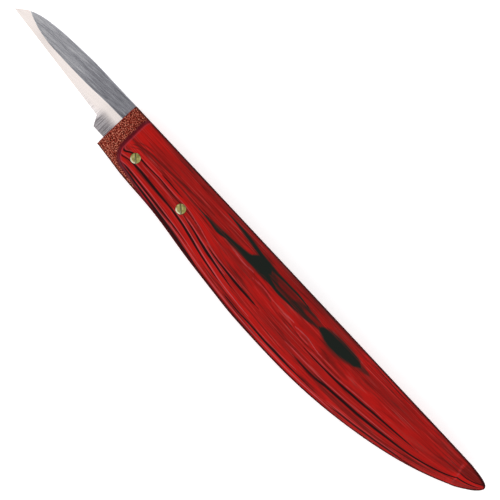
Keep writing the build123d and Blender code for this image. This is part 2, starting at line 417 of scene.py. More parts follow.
def blade_mesh():
    """The blade: its flats, bevels and hollow heel, on both sides, and the tang."""
    along = np.concatenate([
        np.linspace(0, HEEL_SECTIONS_END, HEEL_SECTIONS),
        np.linspace(HEEL_SECTIONS_END, TIP_SECTIONS[0], BLADE_SECTIONS)[1:],
        TIP_SECTIONS[1:],
    ])
    back = spline([(-1, 0), *BLADE_BACK], along)
    back = np.where(along < BLADE_BACK[0][0], 0.0, np.maximum(back, 0))
    edge = np.interp(
        along, [0, HEEL_CORNER[0], HEEL[0], BLADE_REACH], [HEEL_CORNER[1]] * 2 + [HEEL[1], TIP_DOWN]
    )
    shoulder = spline(BLADE_SHOULDER, along)
    top = back + BACK_CHAMFER
    crease = np.clip(shoulder, top + LEAST_WIDTH, edge - LEAST_WIDTH)
    down = np.concatenate([
        back[:, None],
        top[:, None] + (crease - top)[:, None] * np.linspace(0, 1, FLAT_POINTS + 1)[:-1],
        crease[:, None] + (edge - crease)[:, None] * np.linspace(0, 1, BEVEL_POINTS),
    ], 1)
    length = np.repeat(along[:, None], down.shape[1], 1)
    # The bevel's own lower edge carries on past the heel, so that the two blend.
    cutting = HEEL[1] + (TIP_DOWN - HEEL[1]) * (length - HEEL[0]) / (BLADE_REACH - HEEL[0])
    fall = np.clip((down - shoulder[:, None]) / (cutting - shoulder[:, None]), 0, 1)
    bevel = FLAT_THICK - (FLAT_THICK - EDGE_THICK) * fall
    hollow = heel_half(down, shoulder[:, None])
    half = bevel + (hollow - bevel) * smooth(length, *HEEL_BLEND)
    half[:, 0] = np.maximum(half[:, 0] - BACK_CHAMFER, EDGE_THICK)

    bm = bmesh.new()
    sides = [
        [
            [bm.verts.new(place(*values, side)) for values in zip(length[i], down[i], half[i])]
            for i in range(len(along))
        ]
        for side in (1, -1)
    ]
    for grid in sides:
        skin(bm, grid)
    for k in (0, -1):
        skin(bm, [[column[k] for column in grid] for grid in sides])
    left, right = sides
    for i in (0, -1):
        bm.faces.new(left[i] + right[i][::-1])
    caps = [
        [bm.verts.new(place(a, d, TANG_HALF, side)) for a, d in TANG_OUTLINE] for side in (1, -1)
    ]
    for cap in caps:
        bm.faces.new(cap)
    skin(bm, [cap[-1:] + cap for cap in caps])
    return finished(bm, "blade")


def head_slope(along, down):
    """How steeply the handle's side falls towards the belly at a screw."""
    return (dome_height(along, down + 1) - dome_height(along, down - 1)) / 2


def head_mesh(along, down, side):
    """A screw head, dressed to the handle's slope with a broken rim; its slot is cut afterwards."""
    profile = [(r, HEAD_CROWN * (0.5 - (r / HEAD_RADIUS) ** 2)) for r in HEAD_FACE]
    rim = profile[-1][1]
    profile += [(r, rim - drop) for r, drop in HEAD_RIM]
    slope = head_slope(along, down)
    level = dome_height(along, down)
    bm = bmesh.new()
    rings = []
    for radius, rise in [*profile[1:], (HEAD_RADIUS, None)]:
        ring = []
        for k in range(HEAD_SIDES):
            turn = 2 * math.pi * k / HEAD_SIDES
            x, y = radius * math.cos(turn), radius * math.sin(turn)
            height = HEAD_SEAT if rise is None else level + slope * y + rise
            ring.append(bm.verts.new(place(along + x, down + y, height, side)))
        rings.append(ring)
    top = bm.verts.new(place(along, down, level + profile[0][1], side))
    for k in range(HEAD_SIDES):
        after = (k + 1) % HEAD_SIDES
        bm.faces.new((top, rings[0][k], rings[0][after]))
        for inner, outer in zip(rings, rings[1:]):
            bm.faces.new((inner[k], outer[k], outer[after], inner[after]))
    bm.faces.new(rings[-1])
    return finished(bm, "head")


def rub(head, along, down, side):
    """Mark the lower side of a head's face, where a bright highlight is painted."""
    x, y, height = measured(head)
    x, y = x - along, y - down
    face = dome_height(along, down) + head_slope(along, down) * y - SLOT_DEPTH / 2
    reach = np.maximum(np.hypot(x, y), 0.1)
    rubbed = smooth(reach, *HIGHLIGHT_RING) * smooth(y / reach, *HIGHLIGHT_LEAN)
    store(head, rubbed=np.where(height * side > face, rubbed, 0))


def slot_mesh(along, down, side):
    """The slot that is cut across a head."""
    bm = bmesh.new()
    bmesh.ops.create_cube(bm, size=1)
    bmesh.ops.scale(bm, vec=(4 * HEAD_RADIUS * MM, SLOT_WIDTH * MM, 2 * MM), verts=bm.verts)
    floor = dome_height(along, down) - SLOT_DEPTH
    centre = Matrix.Translation(place(along, down, floor + 1, side))
    turned = centre @ Matrix.Rotation(SLOT_ANGLE, 4, "Z")
    bmesh.ops.transform(bm, matrix=turned, verts=bm.verts)
    return finished(bm, "slot")


def soften(obj, angle):
    """Smooth shading, with the edges over an angle kept sharp."""
    mesh = obj.data
    mesh.shade_smooth()
    mesh.set_sharp_from_angle(angle=math.radians(angle))


# ---- The laminated figure ----

# The dyed veneers come to the surface as long drawn-out marks. Each stroke has a
# strength and points of (along, down, half width). It tapers out where no width is given.
BLACK = [
    (1, [(-38, 1.8), (-42, 1.8, 0.12), (-45, 1.85, 0.18), (-48, 2.15, 0.38), (-51, 2.45, 0.42),
     (-54, 2.9, 0.5), (-57, 3.2, 0.5), (-59, 3.3)]),
    (0.9, [(-33, 6.9), (-36, 6.95, 0.2), (-39, 7.15, 0.3), (-41.5, 7.35, 0.42), (-43.5, 7.2, 0.25),
     (-45, 7)]),
    (1, [(-42, 6.6), (-45, 6.4, 0.3), (-47.5, 6.25, 0.45), (-50, 6.05, 0.5), (-52, 5.95, 0.7),
     (-54, 5.8, 1), (-56, 5.6, 1.2), (-59, 5.6)]),
    (0.8, [(-43.5, 7), (-46, 7, 0.2), (-49, 6.9, 0.22), (-52, 6.9, 0.25), (-55, 6.8, 0.25),
     (-58, 6.7, 0.3), (-61, 6.8, 0.2), (-63, 6.9)]),
    (1, [(-52.8, 5.2), (-53.8, 4.9, 0.8), (-55, 4.7, 1.7), (-56.5, 4.8, 1.95), (-58, 4.75, 1.9),
     (-59.2, 4.7, 1.5), (-60.2, 4.7, 0.7), (-61, 4.7)]),
    (0.55, [(-54, 3.9), (-55.5, 3.9, 0.7), (-58, 3.9, 0.9), (-60, 4.3, 1.1), (-61.5, 4.6, 0.9),
     (-63, 5, 0.6), (-65, 5.4)]),
    (1, [(-57, 3.4), (-58, 3.4, 0.6), (-60, 3.4, 0.55), (-62, 3.35, 0.4), (-64, 3.25, 0.32),
     (-67, 3.15, 0.25), (-70, 3.1, 0.24), (-72, 3.2, 0.2), (-74.5, 3.4, 0.14), (-77, 3.5)]),
    (1, [(-57, 5.9), (-58, 5.9, 0.8), (-60, 5.9, 0.65), (-62, 6.2, 0.5), (-64, 6.6, 0.42),
     (-66, 6.7, 0.42), (-68, 6.65, 0.4), (-70, 6.6, 0.32), (-72, 6.6, 0.2), (-74, 6.5)]),
    (0.55, [(-70.8, 5.6), (-71.8, 5.2, 0.6), (-72.8, 4.7, 0.9), (-74, 4.2, 0.6), (-76, 3.8, 0.4),
     (-78, 3.7, 0.25), (-80.5, 3.9)]),
    (0.45, [(-60, 5.6), (-62.5, 5.5, 0.4), (-65, 5.9, 0.5), (-69, 6, 0.6), (-73, 5.9, 0.6),
     (-77, 5.7, 0.5), (-80, 5.3, 0.4), (-82, 5)]),
    (0.4, [(-59, 4.1), (-61.5, 4, 0.5), (-64, 3.8, 0.4), (-68, 3.7, 0.3), (-72, 3.8)]),
    (1, [(-80.8, 4.9), (-81.6, 4.85, 0.65), (-83, 4.8, 1.15), (-84.5, 4.9, 1.55), (-87, 5, 1.95),
     (-89, 4.95, 1.95), (-91, 4.85, 1.8), (-93, 4.65, 1.55), (-94.5, 4.45, 1.25), (-95.8, 4.3, 0.95),
     (-96.6, 4.25, 0.55), (-97.2, 4.2)]),
    (0.6, [(-94, 4.3), (-95.5, 4.3, 0.9), (-97.5, 4.3, 0.8), (-99, 4.2, 0.5), (-101, 4)]),
    (0.7, [(-36, 6.6), (-39, 6.7, 0.35), (-43, 6.6, 0.6), (-47, 6.4, 0.8), (-51, 6.3, 0.85),
     (-55, 6.4, 0.7), (-58, 6.8, 0.4), (-61, 7.1)]),
    (0.7, [(-40, 1.9), (-44, 1.9, 0.3), (-47, 2.2, 0.55), (-51, 2.5, 0.7), (-54, 3, 0.6), (-57, 3.2)]),
    (0.62, [(-69, 5.8), (-71, 5.6, 0.9), (-72.5, 5.2, 1.3), (-74, 5.6, 0.9), (-76, 6, 0.5), (-79, 5.9)]),
    (0.7, [(-95, 3.9), (-97, 3.85, 0.3), (-99, 3.85, 0.22), (-101.5, 3.9)]),
]
DARK = [
    (1, [(-5.8, 9.9), (-6.2, 10.6, 0.22), (-6.8, 11, 0.3), (-7.5, 10.8, 0.3), (-8.4, 10.2, 0.28),
     (-9.4, 9.75, 0.27), (-12, 9.35, 0.25), (-14, 9.4, 0.22), (-17, 9.3, 0.18), (-20, 9.25, 0.18),
     (-24, 9.5, 0.14), (-28, 9.7, 0.1), (-31, 9.9, 0.08), (-35, 10.2, 0.06), (-40, 11.1)]),
    (0.8, [(-18.5, 8), (-20.5, 7.95, 0.16), (-23, 8, 0.2), (-26, 8.15, 0.14), (-29, 8.3)]),
    (0.8, [(-5.9, 11.1), (-6.3, 11.9, 0.14), (-7, 12.5, 0.2), (-8, 12.35, 0.2), (-9.5, 11.95, 0.22),
     (-11.5, 11.75, 0.3), (-14, 11.7, 0.38), (-17, 11.9, 0.42), (-20, 12.1, 0.42), (-24, 12.4, 0.32),
     (-28, 12.65, 0.1), (-29, 12.8)]),
    (1, [(-25, 12.5), (-28, 12.65, 0.2), (-30, 12.9, 0.24), (-33, 13.3, 0.28), (-36, 13.9, 0.34),
     (-38, 14.3, 0.34), (-41, 15, 0.28), (-44, 15.6, 0.26), (-47, 16.1, 0.22), (-50, 16.55, 0.15),
     (-53, 17)]),
    (1, [(-7, 14), (-7.6, 14.2, 0.22), (-9, 14, 0.25), (-12, 13.9, 0.26), (-15, 14.1, 0.26),
     (-18, 14.4, 0.26), (-22, 14.75, 0.24), (-26, 15.1, 0.22), (-29, 15.3, 0.22), (-32, 15.55, 0.18),
     (-35, 15.9, 0.12), (-39, 16.4)]),
    (0.9, [(-7.8, 14.5), (-9, 14.5, 0.2), (-12, 14.6, 0.25), (-15, 15, 0.3), (-18, 15.35, 0.32),
     (-22, 15.8, 0.35), (-26, 16.25, 0.4), (-29, 16.65, 0.45), (-33, 17.15, 0.45), (-38, 17.85, 0.4),
     (-42, 18.4, 0.35), (-46, 19)]),
    (0.95, [(-31.8, 11.5), (-34, 11.8, 0.14), (-36, 12.1, 0.2), (-38, 12.5, 0.25), (-40, 12.95, 0.32),
     (-42, 13.35, 0.4), (-44, 13.75, 0.42), (-46, 14.05, 0.36), (-48, 14.35, 0.3), (-50, 14.65, 0.24),
     (-53, 15.1, 0.16), (-57, 15.6)]),
    (1, [(-42, 12.3), (-45, 12.75, 0.16), (-48, 13.1, 0.22), (-50, 13.25, 0.26), (-53, 13.5, 0.32),
     (-56, 13.7, 0.36), (-58, 13.8, 0.36), (-60.5, 13.85, 0.3), (-63, 13.9, 0.2), (-66, 14)]),
    (0.95, [(-55, 18.3), (-57, 18.4, 0.16), (-60, 18.6, 0.2), (-63, 18.75, 0.2), (-66, 18.75, 0.24),
     (-70, 18.85, 0.25), (-74, 18.95, 0.3), (-78, 18.9, 0.36), (-80.5, 18.9, 0.36), (-83, 18.9, 0.26),
     (-86, 18.8, 0.18), (-90, 18.6, 0.1), (-95, 18.4)]),
    (1, [(-81, 12.2), (-84, 12.1, 0.14), (-87, 12.1, 0.2), (-91, 12, 0.22), (-94, 11.9, 0.28),
     (-97, 11.7, 0.35), (-100, 11.4, 0.36), (-103, 11.1, 0.36), (-106, 10.8, 0.32), (-109, 10.4, 0.3),
     (-112, 10.1, 0.27), (-115, 9.8, 0.27), (-118, 9.5, 0.22), (-121, 9.2, 0.16), (-126, 8.6)]),
    (0.7, [(-81, 15.8), (-84, 15.8, 0.3), (-88, 15.9, 0.42), (-91, 15.7, 0.42), (-94, 15.2, 0.3),
     (-96, 14.9)]),
    (1, [(-90, 15.6), (-92, 15.4, 0.26), (-94, 15.1, 0.36), (-97, 14.8, 0.38), (-100, 14.5, 0.4),
     (-103, 14.2, 0.4), (-106, 13.9, 0.37), (-109, 13.5, 0.35), (-112, 13.1, 0.33), (-115, 12.65, 0.33),
     (-118, 12.15, 0.3), (-121, 11.65, 0.27), (-125, 10.8, 0.24), (-129, 9.7, 0.22), (-132, 8.7, 0.23),
     (-135, 7.55, 0.22), (-137, 6.55, 0.2), (-138.2, 5.85, 0.18)]),
    (0.9, [(-97, 18.4), (-100, 18.05, 0.12), (-103, 17.55, 0.2), (-107, 16.95, 0.22), (-110, 16.4, 0.23),
     (-113, 15.8, 0.2), (-117, 15.05, 0.17), (-121, 14.2, 0.15), (-125, 13.4, 0.12), (-130, 11.9)]),
    (1, [(-138.2, 5.65, 0.2), (-140, 5.25, 0.2), (-142, 4.6, 0.18), (-144, 3.7, 0.15),
     (-145.8, 2.6, 0.08)]),
    (0.8, [(-138.2, 4.05, 0.12), (-140.5, 3.8, 0.15), (-142.5, 3.2, 0.16), (-144.5, 2.2, 0.18),
     (-145.8, 1.3, 0.15)]),
    (0.7, [(-97, 0.9), (-101, 1, 0.12), (-107, 1.15, 0.14), (-113, 1.1, 0.12), (-120, 0.9)]),
]
BROWN = [
    (0.17, [(-44, 9), (-50, 9.5, 8), (-70, 10.5, 9), (-100, 9.5, 8.5), (-125, 7, 7), (-137, 5, 5)]),
    (0.36, [(-46, 1.6), (-50, 1.6, 1.2), (-65, 1.7, 1.4), (-80, 1.8, 1.4), (-92, 1.7, 1.2), (-98, 1.6)]),
    (0.3, [(-10, 4.4, 0.1), (-16, 4.1, 1.8), (-22, 4, 2.6), (-30, 4, 2.8), (-37, 4.2, 2.6),
     (-43, 4.2, 1.8), (-48, 4.3, 0.7), (-51, 4.4)]),
    (0.8, [(-6.8, 8.5), (-8, 7.7, 0.2), (-9.5, 7.05, 0.28), (-12, 6.4, 0.35), (-16, 6.1, 0.4),
     (-22, 5.7, 0.45), (-28, 5.3, 0.4), (-34, 5, 0.3), (-38, 4.9)]),
    (0.6, [(-7.2, 7.3), (-8.4, 6.5, 0.18), (-10.5, 5.65, 0.22), (-15, 5, 0.25), (-20, 4.7, 0.25),
     (-26, 4.4)]),
    (0.6, [(-6.8, 9.3), (-7.8, 8.8, 0.16), (-9.5, 7.8, 0.2), (-12.5, 7.1, 0.22), (-18, 6.75, 0.2),
     (-23, 6.6)]),
    (0.7, [(-20, 6.7), (-23, 6.6, 0.3), (-28, 6.7, 0.35), (-33, 6.9, 0.4), (-36, 6.9, 0.3), (-39, 7.1)]),
    (0.5, [(-6, 0.9), (-12, 0.85, 0.25), (-22, 1, 0.5), (-30, 1.1, 0.6), (-38, 1, 0.5), (-50, 0.9, 0.4),
     (-56, 0.8)]),
    (0.5, [(-44, 9.2), (-48, 9.3, 0.9), (-53, 9.2, 1.2), (-58, 9.3, 1), (-63, 9.6, 0.7), (-67, 10.2)]),
    (0.5, [(-48, 11.6), (-52, 11.8, 0.25), (-56, 11.9, 0.2), (-60, 12.3)]),
    (0.7, [(-56, 9.9), (-60, 9.6, 0.2), (-63, 9.45, 0.22), (-66, 9.8, 0.1), (-67, 10)]),
    (0.95, [(-60, 5), (-61, 5, 1), (-65, 5, 1.3), (-70, 5, 1.5), (-75, 5, 1.5), (-79, 4.8, 1.4),
     (-82, 4.8, 1), (-84, 4.8)]),
    (1, [(-69, 6.6), (-71, 6.6, 0.35), (-74, 6.5, 0.35), (-77, 6.1, 0.3), (-80, 5.8)]),
    (0.4, [(-64, 14.7), (-67, 14.5, 1), (-72, 14.5, 1.4), (-77, 15, 1.1), (-82, 15.8, 0.8), (-88, 16)]),
    (0.8, [(-54, 15.9), (-57, 16, 0.12), (-60, 16.1, 0.14), (-64, 16.3, 0.16), (-68, 16.5, 0.18),
     (-72, 16.7, 0.16), (-77, 16.9)]),
    (0.6, [(-44, 16.7), (-48, 17.3, 0.2), (-52, 17.6, 0.25), (-57, 17.9, 0.25), (-62, 18.2, 0.15),
     (-66, 18.4)]),
    (0.8, [(-69.5, 10.4), (-72, 10.6, 0.2), (-75, 10.6, 0.18), (-77, 10.75, 0.1), (-80, 11.1, 0.2),
     (-83, 11, 0.15), (-87, 10.7, 0.14), (-92, 10.9, 0.18), (-96, 10.7)]),
    (0.7, [(-78, 10.1), (-79.5, 10.1, 0.12), (-82, 10.15)]),
    (0.8, [(-84, 15.1), (-87, 15.1, 0.12), (-91, 15.1)]),
    (0.7, [(-85, 18.8), (-88, 18.7, 0.3), (-92, 18.5, 0.3), (-97, 18.2)]),
    (0.5, [(-86, 16.4), (-90, 16.4, 0.2), (-94, 16.2, 0.2), (-98, 15.9)]),
    (0.45, [(-89, 9.2), (-92, 9.2, 0.8), (-95, 9.3, 0.8), (-98, 9.4)]),
    (0.35, [(-94, 6.2), (-97, 6.6, 0.6), (-101, 7.2, 0.5), (-105, 7)]),
    (0.55, [(-96, 4.3), (-101, 4.3, 1.2), (-108, 4.2, 1.3), (-114, 4, 1.1), (-119, 3.6, 0.8),
     (-124, 3.1, 0.6), (-130, 2.5, 0.6), (-134, 2.3, 0.6), (-136.8, 2.2, 0.5), (-137.2, 2.2)]),
    (0.6, [(-128, 2.5), (-131, 2.4, 0.3), (-134, 2.3, 0.4), (-136.6, 2.2, 0.35), (-137, 2.2)]),
    (0.45, [(-121, 8.4), (-124, 8.1, 0.4), (-128, 7.2, 0.45), (-132, 6.1, 0.45), (-136, 4.9, 0.4),
     (-137.7, 4.3, 0.3)]),
    (0.7, [(-138, 2.3, 1.6), (-141, 2.2, 1.4), (-144, 1.6, 0.9), (-146, 1.5, 0.4)]),
    (0.6, [(-89, 16.4), (-94, 16.2, 0.6), (-102, 15.8, 0.7), (-110, 15.1, 0.6), (-118, 14.2, 0.4),
     (-123, 13.4)]),
    (0.5, [(-98, 17.9), (-103, 17.3, 0.4), (-110, 16.3, 0.4), (-117, 15, 0.35), (-123, 13.9)]),
    (0.75, [(-11, 11.8), (-14, 12.1, 0.45), (-19, 12.3, 0.6), (-24, 12.4, 0.6), (-29, 12.7, 0.45),
     (-34, 13.4, 0.3), (-38, 13.9)]),
    (0.5, [(-9, 14.9), (-13, 15, 0.3), (-20, 15.5, 0.4), (-27, 16, 0.4), (-34, 16.8, 0.3), (-38, 17.3)]),
    (0.35, [(-64, 12.6), (-68, 12.4, 0.5), (-74, 12.6, 0.8), (-80, 12.8, 0.4), (-84, 12.9)]),
    (0.3, [(-70, 8.3), (-74, 8.2, 0.4), (-80, 8, 0.5), (-86, 8, 0.5), (-92, 8)]),
    (0.4, [(-138.3, 7.3, 0.6), (-141, 6.2, 0.5), (-143, 5, 0.4), (-145, 3.8, 0.3)]),
    (0.7, [(-55, 0.8), (-60, 0.85, 0.2), (-75, 0.8, 0.2), (-90, 0.8, 0.25), (-97, 0.9)]),
    (0.6, [(-60, 1.4), (-66, 1.35, 0.12), (-76, 1.3, 0.12), (-86, 1.5, 0.2), (-94, 1.5, 0.2),
     (-99, 1.7)]),
    (0.6, [(-64, 1.95), (-70, 1.95, 0.12), (-76, 1.95, 0.12), (-80, 1.9)]),
]
BRIGHT = [
    (0.8, [(-5, 3.4, 2.4), (-8, 3.3, 2.4), (-12, 3, 2), (-16, 2.8, 1.2), (-20, 2.6)]),
    (0.9, [(-7, 13.1), (-9, 13.2, 0.35), (-13, 13.05, 0.4), (-17, 13.2, 0.42), (-21, 13.5, 0.5),
     (-25, 13.9, 0.5), (-29, 14.3, 0.5), (-33, 14.9, 0.5), (-37, 15.5, 0.5), (-41, 16.1, 0.45),
     (-45, 16.7, 0.35), (-50, 17.2)]),
    (0.8, [(-22, 8.6), (-26, 8.8, 0.25), (-31, 8.4, 0.4), (-35, 8.6, 0.6), (-38, 9.6, 0.7),
     (-42, 10.8, 0.7), (-46, 11.6, 0.6), (-50, 12.1, 0.3), (-54, 12.4)]),
    (0.8, [(-36, 12.9), (-40, 13.7, 0.3), (-44, 14.6, 0.35), (-48, 15.2, 0.35), (-52, 15.9, 0.35),
     (-57, 16.5, 0.35), (-61, 17, 0.4), (-65, 17.4, 0.45), (-70, 17.8, 0.45), (-76, 17.9, 0.45),
     (-82, 17.6, 0.45), (-88, 17.4, 0.45), (-94, 17.2, 0.5), (-100, 16.6, 0.6), (-105, 15.9, 0.4),
     (-110, 15)]),
    (0.6, [(-57, 14.6), (-60, 14.7, 0.4), (-63, 15.1, 0.4), (-66, 15.2)]),
    (0.8, [(-58, 11.4), (-62, 11.4, 0.8), (-66, 11.7, 1), (-70, 11.6, 0.7), (-74, 11.5)]),
    (0.9, [(-68, 8.5), (-71, 8.7, 0.7), (-74, 8.7, 0.8), (-78, 8.8, 0.7), (-82, 8.6, 0.5), (-86, 8)]),
    (0.9, [(-66, 2.55), (-70, 2.5, 0.2), (-74, 2.4, 0.28), (-78, 2.3, 0.35), (-82, 2.4, 0.35),
     (-86, 2.4, 0.35), (-91, 2.2, 0.35), (-96, 2.3, 0.3), (-100, 2.4)]),
    (0.8, [(-82, 13.4), (-87, 13.5, 0.7), (-93, 13.2, 0.7), (-99, 12.8, 0.6), (-106, 12.1, 0.5),
     (-112, 11.4, 0.4), (-118, 10.7, 0.4), (-124, 9.6, 0.4), (-129, 8.6, 0.35), (-133, 7.2, 0.32),
     (-136, 6, 0.3), (-138, 4.95, 0.3)]),
    (0.7, [(-98, 8.3), (-104, 8.4, 0.9), (-110, 7.8, 1), (-117, 6.8, 1.2), (-124, 5.6, 1.2),
     (-130, 4.6, 0.8), (-134, 3.8)]),
    (0.7, [(-104, 1.9), (-109, 1.9, 0.35), (-115, 1.8, 0.4), (-121, 1.7, 0.4), (-127, 1.4, 0.4),
     (-133, 1.1, 0.3), (-137, 1.2)]),
    (1, [(-138.2, 4.75, 0.45), (-140, 4.45, 0.42), (-142, 3.85, 0.38), (-144, 3, 0.36),
     (-145.5, 2.2, 0.36), (-146.3, 1.5, 0.25)]),
    (0.7, [(-6.6, 11.6), (-8, 11.15, 0.2), (-9.5, 10.8, 0.25), (-13, 10.6, 0.3), (-18, 10.7, 0.3),
     (-23, 10.9, 0.3), (-28, 11, 0.2), (-31, 10.6)]),
]
PINK = [
    (0.5, [(-5.9, 9.6), (-6.5, 10.3, 0.1), (-7.2, 10.45, 0.12), (-8.3, 9.8, 0.1), (-9, 9.4)]),
    (0.6, [(-12.5, 8.95), (-14, 8.9, 0.1), (-18, 8.9, 0.1), (-22, 9, 0.12), (-26, 9.15, 0.12),
     (-30, 9.15, 0.1), (-33, 9.5, 0.14), (-35.5, 10, 0.14), (-38, 10.5, 0.12), (-41, 11.3, 0.1),
     (-44, 12, 0.1), (-47, 12.55, 0.12), (-50, 12.85, 0.12), (-54, 13.1, 0.12), (-57, 13.35, 0.1),
     (-60, 13.5)]),
    (0.5, [(-12, 10.1), (-15, 10.1, 0.12), (-20, 10.3, 0.12), (-25, 10.5, 0.1), (-28, 10.6)]),
    (0.6, [(-6.2, 12.2), (-7.2, 12, 0.12), (-8.5, 11.7, 0.12), (-10, 11.4, 0.1), (-14, 11.2, 0.08),
     (-18, 11.3)]),
    (0.75, [(-7.6, 13.8), (-9, 13.6, 0.14), (-12, 13.45, 0.14), (-16, 13.65, 0.14), (-20, 13.95, 0.14),
     (-24, 14.35, 0.13), (-28, 14.8, 0.13), (-31, 15.1, 0.13), (-34, 15.45, 0.12), (-38, 16, 0.1),
     (-42, 16.7)]),
    (0.75, [(-9, 14.3), (-13, 14.6, 0.08), (-17, 14.85, 0.1), (-20, 15.05, 0.1), (-24, 15.5, 0.1),
     (-28, 15.95, 0.12), (-32, 16.2, 0.14), (-35, 16.55, 0.14), (-38, 16.95, 0.14), (-41, 17.4, 0.14),
     (-44, 17.85, 0.14), (-47, 18.25, 0.13), (-50, 18.65, 0.13), (-54, 19.1, 0.13), (-58, 19.4, 0.13),
     (-62, 19.6, 0.13), (-66, 19.8, 0.13), (-72, 19.9, 0.13), (-78, 19.9, 0.13), (-84, 19.8, 0.13),
     (-89, 19.5, 0.14), (-94, 19.1, 0.14), (-99, 18.7, 0.1), (-103, 18.4)]),
    (0.9, [(-31.5, 11.15), (-34, 11.35, 0.12), (-36, 11.65, 0.13), (-38, 12.05, 0.14), (-40, 12.45, 0.15),
     (-42, 12.85, 0.15), (-44, 13.25, 0.15), (-46, 13.6, 0.15), (-48, 13.9, 0.14), (-50, 14.15, 0.12),
     (-53, 14.5)]),
    (0.9, [(-28, 12.2), (-31, 12.5, 0.1), (-34, 13, 0.13), (-36, 13.4, 0.14), (-38, 13.85, 0.15),
     (-40, 14.3, 0.16), (-42, 14.7, 0.16), (-44, 15.1, 0.16), (-46, 15.5, 0.16), (-48, 15.85, 0.16),
     (-50, 16.2, 0.15), (-52, 16.5, 0.15), (-55, 16.85, 0.14), (-58, 17.1, 0.14), (-62, 17.4, 0.1),
     (-66, 17.6)]),
    (0.6, [(-47, 7.7), (-50, 7.9, 0.15), (-53, 8.15, 0.16), (-56, 7.95, 0.14), (-58, 7.8)]),
    (0.5, [(-57, 9.3), (-60, 8.95, 0.14), (-63, 8.95, 0.14), (-65.5, 9.3, 0.1), (-67, 9.5)]),
    (0.8, [(-70.5, 9.7), (-72, 9.45, 0.14), (-74, 9.3, 0.16), (-75.5, 9.35)]),
    (0.8, [(-75.5, 9.9), (-77, 9.7, 0.13), (-79, 9.5, 0.15), (-81, 9.5, 0.14), (-83, 9.8, 0.1),
     (-86, 10.2, 0.1), (-90, 10.3)]),
    (0.6, [(-77, 10.4), (-79, 10.6, 0.1), (-81, 10.65, 0.1), (-83, 10.7)]),
    (0.55, [(-83, 11.5), (-87, 11.45, 0.1), (-92, 11.4, 0.12), (-97, 11, 0.12), (-102, 10.4, 0.12),
     (-107, 9.9, 0.1), (-112, 9.4)]),
    (0.6, [(-76, 14.8), (-80, 14.7, 0.14), (-84, 14.65, 0.15), (-88, 14.6, 0.14), (-92, 14.5, 0.14),
     (-96, 14.15, 0.13), (-100, 13.75, 0.12), (-105, 13.2, 0.12), (-110, 12.55, 0.11), (-115, 11.9, 0.1),
     (-120, 11)]),
    (0.6, [(-68, 18.3), (-72, 18.35, 0.1), (-76, 18.4, 0.1), (-80, 18.35, 0.13), (-83, 18.15, 0.12),
     (-86, 17.9)]),
    (0.5, [(-97, 17.8), (-101, 17.3, 0.11), (-105, 16.75, 0.12), (-110, 15.9, 0.12), (-115, 14.95, 0.1),
     (-120, 14, 0.1), (-124, 13.1)]),
    (0.5, [(-84, 3.1), (-87, 3, 0.1), (-91, 2.95, 0.12), (-95, 2.95, 0.1), (-98, 3.2)]),
]
# A painted highlight along the crease, a pale line where the butt's facet meets the front of the handle:
# down, along.
CREASE_HIGHLIGHT_LINE = [(1.4, -136.8), (3.2, -137.3), (4.4, -137.9), (5.9, -138.4), (9, -138.8)]
CREASE_HIGHLIGHT_WIDTH = 0.2
CREASE_HIGHLIGHT_STRENGTH = 0.3

# How far the grain drifts towards the belly, as a share of the section.
DRIFT = [(0, 0), (-28, 0), (-40, 0.1), (-50, 0.16), (-60, 0.18), (-76, 0.22), (-147, 0.22)]
FULL_BELLY = STATIONS[7][2] - STATIONS[7][4]

# The dark rim, painted shade where the handle's sides fall away steeply: how far it comes in from the
# belly's edge.
BELLY_RIM = [
    (0, 0.35), (-16, 0.55), (-29, 1), (-50, 1), (-62, 0.85), (-75, 0.62), (-90, 0.5),
    (-110, 0.42), (-138, 0.5), (-147, 0.85),
]
BACK_RIM = 0.62
BACK_RIM_GROWS = (134, 146)   # towards the butt, to half as wide again
BELLY_FADE = (0.6, 1.15)      # the rim fades out between these shares of its width
BACK_FADE = (0.55, 1.3)
STEEP_BAND = (0.4, 2.2)       # from the edges, where the handle's side is steep

# The other scale is the next piece of the same board, so its figure is a little off.
RIGHT_AHEAD = 3.0
RIGHT_STRETCH = 0.97
RIGHT_LOWER = 0.2

# The plum band down the wall of the relief, a painted shade on the steep wall, in shares of its width,
# and the paler edging.
WALL_SHADE_RISE = (-0.75, -0.4)
WALL_SHADE_FALL = (0.3, 0.8)
EDGING_RISE = (-1.1, -0.8)
EDGING_FALL = (-0.8, -0.45)
UPRIGHT = (-14, -7)           # both are strongest on the upright part of the border


def along_curve(points, along, column=1):
    """A polyline through given points (along, value), read at an array of places."""
    return np.interp(-along, [-p[0] for p in points], [(*p, 0)[column] for p in points])


def strokes(marks, along, down, core=0.45, fade=1.35):
    """How strongly a set of strokes shows at each place, 0 to 1.

    A stroke is at its strongest out to core, and fades away by fade, in half widths.
    """
    shown = np.zeros_like(along)
    for strength, run in marks:
        near = np.flatnonzero((along <= run[0][0]) & (along >= run[-1][0]))
        x = along[near]
        centre = spline(run, x)
        width = np.maximum(along_curve(run, x, 2), 1e-3)
        value = strength * (1 - smooth(np.abs(down[near] - centre) / width, core, fade))
        shown[near] = np.maximum(shown[near], value)
    return shown


def flow(along, down):
    """A coordinate in millimetres that keeps its value along a line of the grain."""
    _, belly, _, ridge = section(along)
    share = (down - ridge) / (belly - ridge)
    drift = along_curve(DRIFT, along) * smooth(share, 0.05, 0.5)
    return np.where(share > 0, FULL_BELLY * (share - drift), down - ridge)


def measured(obj):
    """How far along, down and up each point of a piece is, in millimetres."""
    points = np.zeros(len(obj.data.vertices) * 3)
    obj.data.vertices.foreach_get("co", points)
    return ((points.reshape(-1, 3) - np.array(place(0, 0, 0))) / MM).T


def store(obj, **layers):
    """Keep values on the points of a piece, for its material to read."""
    for name, values in layers.items():
        attribute = obj.data.attributes.new(name, "FLOAT", "POINT")
        attribute.data.foreach_set("value", values.astype(np.float32))


